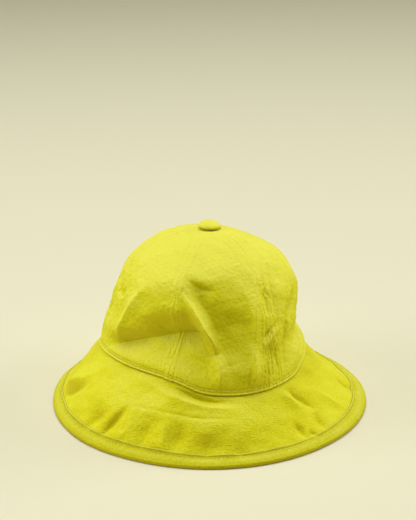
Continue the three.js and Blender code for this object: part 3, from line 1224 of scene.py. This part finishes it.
@dataclass(frozen=True)
class Binding:
    """A bias strip folded over the brim's edge and stitched through, in millimetres.

    Heights are above the brim's middle, and places are measured from the strip's inner
    edge. Each row of "rolls" and "paled_and_lit" is a line's middle, width and strength;
    the "paled_and_lit" lines are drawn paler, wear with a painted highlight. "girth"
    is the way round its section. "painted_shade" darkens the whole strip.
    """

    form: BrimForm = BrimForm()
    start: float = 0.858
    inside: float = 1.28
    foot: float = 1.02
    outside: float = 2.4
    clearance: float = 0.03
    turn_in: float = 0.35
    turn_in_height: float = 0.5
    swell: float = 1.08
    swell_reach: float = 9.0
    rolls: Rows = ((1.1, 0.7, 0.45), (7.5, 2.2, 0.15))
    row: float = 3.3
    row_width: float = 1.6
    row_depth: float = 0.6
    row_pull: float = 0.4
    ripple_height: float = 0.12
    ripple_length: float = 7.5
    ripple_slant: float = 0.8
    ripple_middle: float = 4.5
    ripple_reach: float = 3.0
    under_relief: float = 0.6
    edge_radius: float = 2.5
    edge_gap: float = 0.3
    girth: float = 36.0
    columns: int = 720
    painted_shade: float = 2.8
    paled_and_lit: Rows = ((0.7, 0.6, 2.6), (6.8, 2.0, 1.3))

    def lift(self, along: Array, at: Array) -> Array:
        """Height of its face above the brim's middle: a lip, a stitched groove, a bulge.

        Args:
            along: millimetres from the strip's inner edge.
            at: degrees round the hat.

        Returns:
            Millimetres above the middle of the brim's cloth.
        """
        around = np.radians(at) * self.form.radius
        step = np.clip(along / self.turn_in, 0, 1)
        face = self.foot + self.turn_in_height * np.sqrt(step * (2 - step))
        face = face + self.swell * free_after(along, self.swell_reach)
        groove = self.row_depth * bell(along - self.row, self.row_width)
        groove = groove * stitch_pull(around, self.row_pull)
        slanted = around + self.ripple_slant * along
        ripple = self.ripple_height * np.sin(2 * np.pi * slanted / self.ripple_length)
        ripple = ripple * bell(along - self.ripple_middle, self.ripple_reach)
        return face + bells(along, self.rolls) - groove + ripple

    def body(self) -> Body:
        """Lofts the strip round the hat.

        Each loop goes over the top, round the edge in a half circle that is cut flat
        where it stands on the table, back under the brim, and home along the inside.
        """
        form, at, edge = self.form, columns_round(self.columns), np.ones((1, 1))
        near = (0, 0.15, 0.35, 0.6, 0.9, 1.3, 1.7, 2.1, 2.6, 3.0, 3.4, 3.9, 4.4)
        far = np.linspace(5.2, (1 - self.start) * form.slope, 7)
        along = np.concatenate([near, far])[None, :]
        share = self.start + along / form.slope
        lift = self.lift(along, at)
        top = form.place(at, share, lift)
        relief = self.under_relief
        under = form.place(at, share, -lift * relief - self.outside * (1 - relief))
        middle = form.place(at, edge, 0.0)
        above = unit(form.place(at, edge, 1.0) - middle)
        level = unit(above * (1.0, 1.0, 0.0))
        slope = np.hypot(above[..., :1], above[..., 1:2])
        beyond = level * above[..., 2:] - slope * (0.0, 0.0, 1.0)
        turn = np.radians(np.linspace(12, 168, 12))[:, None]
        rim = middle + self.edge_radius * (above * np.cos(turn) + beyond * np.sin(turn))
        back = np.array([0.999, 0.965, 0.93, 0.9, self.start + 0.001])[None, :]
        wall = self.inside - self.clearance
        wall_top, wall_under = form.place(at, back, wall), form.place(at, back[:, ::-1], -wall)
        tip = middle + beyond * self.edge_gap
        corner = [tip - above * self.inside, tip, tip + above * self.inside]
        loops = np.concatenate([top, rim, under[:, ::-1], wall_under, *corner, wall_top], 1)
        loops[..., 2] = np.maximum(loops[..., 2], 0.0)
        around = np.radians(columns_round(self.columns, 1)) * form.radius
        cloth = stacked(around, np.linspace(0, self.girth, loops.shape[1])[None, :])
        # Painted shade over the whole strip; the lip and the bulge are drawn paler, wear with a
        # painted highlight.
        wear_and_painted_light = np.full(loops.shape[:2], -self.painted_shade)
        wear_and_painted_light[:, : top.shape[1]] += bells(along, self.paled_and_lit)
        return loft(loops, cloth, wear_and_painted_light, True)

    def stitches(self) -> Body:
        """One row of stitches along the strip's inner edge, on its upper face."""
        form = self.form
        row = self.start + self.row / form.slope

        def face(at: Array, share: Array, inside: float) -> Array:
            """Points on the strip's upper face."""
            along = (share - self.start) * form.slope
            return form.place(at, share, self.lift(along, at) - inside)

        return Stitch().sew_round(face, form.radius, lambda at: np.full_like(at, row), -1.0)

    def build(self, canvas: Material, thread: Material) -> None:
        """Makes the binding and its stitches."""
        cloth_piece("brim_binding_strip", self.body(), canvas, Slot.BINDING, "brim_binding")
        cloth_piece("brim_binding_stitches", self.stitches(), thread, Slot.BINDING)


@dataclass(frozen=True)
class Button:
    """A domed button covered in the hat's cloth, in millimetres."""

    crown: CrownForm = CrownForm()
    radius: float = 10.0
    height: float = 5.2
    tilt: float = 4.0
    gap: float = 0.3
    stem: float = 3.0
    stem_depth: float = 2.0
    rim: float = 1.6
    rim_height: float = 1.5
    columns: int = 96
    gathers: int = 19
    gather_height: float = 0.14

    def body(self) -> Body:
        """Turns a domed profile about its axis, with the cloth gathered under its rim.

        Radius and height go along a rounded profile from the underside round the rim and
        over the dome; gathers swell and pinch the radius near the rim as a sine.
        """
        dome = np.radians(np.linspace(-40, 90, 30))
        sine, cosine = np.sin(dome), np.cos(dome)
        radius = self.radius - self.rim + self.rim * cosine
        radius = np.where(dome > 0, self.radius * cosine**0.8, radius)
        domed = (self.height - self.rim_height) * np.maximum(sine, 0) ** 0.92
        rise = self.rim_height + np.where(dome > 0, domed, self.rim_height * sine)
        stem = [(0.02, -self.stem_depth), (self.stem, -self.stem_depth)]
        under = [*stem, (self.stem, self.gap), (self.radius - 2.6, self.gap)]
        profile = np.concatenate([under, stacked(radius, rise)])
        profile[-1] = (0.02, self.height)
        turn = (np.arange(self.columns) * (2 * np.pi / self.columns))[:, None]
        outer, z = profile[None, :, 0], profile[None, :, 1]
        gather = self.gather_height * np.sin(self.gathers * turn + 0.6 * np.sin(3 * turn))
        outer = outer + gather * bell(z - 0.8, 1.2) * (outer > self.stem + 1)
        x, y = outer * np.sin(turn), -outer * np.cos(turn)
        sine, cosine = np.sin(np.radians(self.tilt)), np.cos(np.radians(self.tilt))
        top = self.crown.bare(np.zeros(1), np.ones(1))[0]
        base = top + (0.0, 0.0, self.gap + self.radius * sine)
        loops = (stacked(x * cosine + z * sine, y, z * cosine - x * sine) + base)[:, ::-1]
        flat = stacked(x, y)[:, ::-1]
        flat = np.concatenate([flat, flat[:1]])
        return loft(loops, flat, np.full(loops.shape[:2], 0.5), True)

    def build(self, canvas: Material) -> None:
        """Makes the button."""
        cloth_piece("top_button_covered", self.body(), canvas, Slot.CLOTH, "top_button")


# The studio


@dataclass(frozen=True)
class Softbox:
    """A square soft light aimed at the hat.

    Attributes:
        name: the light's name.
        place: where it hangs, in metres.
        size: its side in metres.
        power: its power in watts.
        towards: the place that it faces, in metres.
    """

    name: str
    place: tuple[float, float, float]
    size: float
    power: float
    towards: tuple[float, float, float] = (0.0, 0.0, 0.08)

    def build(self) -> None:
        """Makes the light and turns its face towards the hat's middle."""
        light = bpy.data.lights.new(self.name, "AREA")
        light.shape = "SQUARE"
        light.size = self.size
        light.energy = self.power
        box = add_object(self.name, light)
        box.location = self.place
        aim = Vector(self.towards) - Vector(self.place)
        box.rotation_euler = aim.to_track_quat("-Z", "Y").to_euler()


@dataclass(frozen=True)
class Studio:
    """A plain pale floor and surroundings under soft light. Sizes are in metres.

    The surroundings are pale up to a little over the horizon and dim above, where the
    light comes from the softboxes. They are brighter behind the hat than before it.
    """

    floor_colour: str = "#e4e0c4"
    floor_size: float = 5.0
    pale: str = "#f0ebc4"
    dim: str = "#5c5a44"
    strength: float = 0.66
    behind: float = 0.3
    softboxes: tuple[Softbox, ...] = (
        Softbox("overhead_softbox", (-0.1, -0.05, 2.6), 2.2, 62.0),
        Softbox("left_softbox", (-3.5, 0.0, 1.1), 2.3, 54.0),
        Softbox("right_softbox", (3.5, 0.2, 1.1), 2.3, 60.0),
    )

    def build(self) -> None:
        """Makes the floor, the light from above and the pale surroundings."""
        half = self.floor_size / 2
        x, y = np.meshgrid((-half, half), (-half, half), indexing="ij")
        points = stacked(x, y, 0.0).reshape(-1, 3)
        mesh = bpy.data.meshes.new("studio_floor")
        mesh.from_pydata(points.tolist(), [], [[0, 2, 3, 1]])
        mesh.materials.append(self.paper())
        add_object("studio_floor", mesh)
        for softbox in self.softboxes:
            softbox.build()
        world = bpy.data.worlds.new("pale_surroundings")
        world.use_nodes = True
        tree = world.node_tree
        way = add(tree, "TexCoord").outputs["Generated"]
        parts = add(tree, "SeparateXYZ", {"Vector": way}).outputs
        colour = colour_ramp(tree, parts["Z"], (0.15, self.pale), (0.45, self.dim))
        strength = weighed(tree, self.strength, (parts["Y"], self.behind))
        background = tree.nodes["Background"]
        tree.links.new(strength, background.inputs["Strength"])
        tree.links.new(colour, background.inputs["Color"])
        bpy.context.scene.world = world
        bpy.context.scene.view_settings.view_transform = "Standard"

    def paper(self) -> Material:
        """Matt background paper: even and pale, with the faintest tooth."""
        material, tree = new_material("background_paper")
        place = add(tree, "TexCoord").outputs["Object"]
        tooth = add(tree, "TexNoise", {"Vector": place, "Scale": 1200.0}).outputs["Fac"]
        look = {"Roughness": 0.95, "Specular IOR Level": 0.2}
        matt_surface(tree, srgb(self.floor_colour), tooth, (0.05, 0.0002), look)
        return material


@dataclass(frozen=True)
class PhotoCamera:
    """The camera where the photograph was taken from. Millimetres, degrees and pixels."""

    azimuth: float = -8.0
    elevation: float = 25.0
    distance: float = 1150.0
    focal: float = 1277.8
    target: tuple[float, float, float] = (-5.9, -20.55, 56.0)
    target_at: tuple[float, float] = (206.0, 350.0)
    frame: tuple[float, float] = (416.0, 520.0)
    sensor: float = 36.0

    def build(self) -> None:
        """Makes the camera.

        It stands at its distance from the target, looks at it, and is then pitched and
        turned until the target falls on its pixel.
        """
        azimuth, elevation = np.radians(self.azimuth), np.radians(self.elevation)
        level = np.cos(elevation)
        back = stacked(np.sin(azimuth) * level, -np.cos(azimuth) * level, np.sin(elevation))
        right = unit(np.cross(-back, (0.0, 0.0, 1.0)))
        up = np.cross(right, -back)
        pitch = np.arctan2(self.target_at[1] - self.frame[1] / 2, self.focal)
        forward = -back * np.cos(pitch) + up * np.sin(pitch)
        yaw = np.arctan2(self.target_at[0] - self.frame[0] / 2, self.focal / np.cos(pitch))
        forward = forward * np.cos(yaw) - right * np.sin(yaw)
        right = unit(np.cross(forward, (0.0, 0.0, 1.0)))
        up = np.cross(right, forward)
        place = (np.array(self.target) + back * self.distance) * MM
        data = bpy.data.cameras.new("photo_camera")
        data.sensor_width = self.sensor
        data.lens = self.sensor * self.focal / max(self.frame)
        camera = add_object("photo_camera", data)
        columns = stacked(right, up, -forward, place)
        camera.matrix_world = Matrix([*columns.tolist(), [0, 0, 0, 1]])
        bpy.context.scene.camera = camera


def corners(box: tuple[Vector, Vector]) -> list[list[float]]:
    """A box's lowest and highest corner as plain lists."""
    return [list(corner) for corner in box]


def main() -> None:
    """Loads the frame and builds the hat, its studio and its camera."""
    logging.basicConfig(level=logging.INFO, format="%(message)s")
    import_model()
    PhotoCamera().build()
    Studio().build()
    canvas = WashedCanvas("washed_cotton_canvas").make()
    # Painted shade: the binding's canvas is a darker copy of the crown's, as for cloth in less
    # light.
    shaded_binding_canvas = WashedCanvas(
        "washed_cotton_binding", deep_and_shaded="#bdb200", dyed="#ccc914", paled_and_lit="#d8d44c", turned=45.0
    ).make()
    thread = CottonThread().make()
    Crown().build(canvas, thread)
    Brim().build(canvas)
    Binding().build(shaded_binding_canvas, thread)
    Button().build(canvas)
    bpy.context.view_layer.update()


if __name__ == "__main__":
    main()
